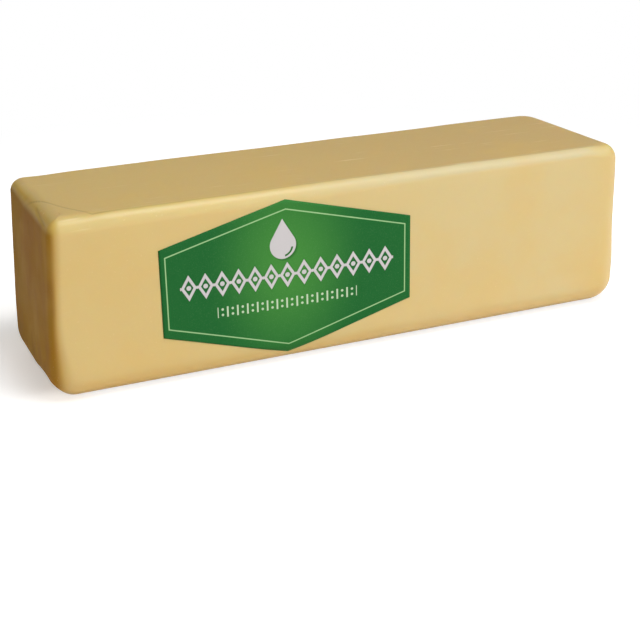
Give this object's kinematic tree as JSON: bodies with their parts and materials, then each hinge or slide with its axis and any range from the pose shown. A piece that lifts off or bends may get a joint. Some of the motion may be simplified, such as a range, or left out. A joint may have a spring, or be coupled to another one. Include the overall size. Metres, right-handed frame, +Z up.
{
  "type": "cheddar block",
  "caption": "Loaf-shaped block of pale yellow cheddar, square in section, with rounded edges, ends that lean inwards and a plain hexagonal green label on the front.",
  "frame": {"origin": "on the base, under the middle of the block", "axes": "+X along the block, away from the end that the label is nearer to; -Y out of the front face, which bears the label; +Z up"},
  "size_m": [0.3598, 0.1018, 0.1016],
  "materials": {
    "cheese": "smooth and waxy, with a soft satin sheen",
    "label_print": "printed green, satin"
  },
  "bodies": {
    "root": {"cheese_block": "cheese", "label": "label_print"}
  },
  "joints": []
}
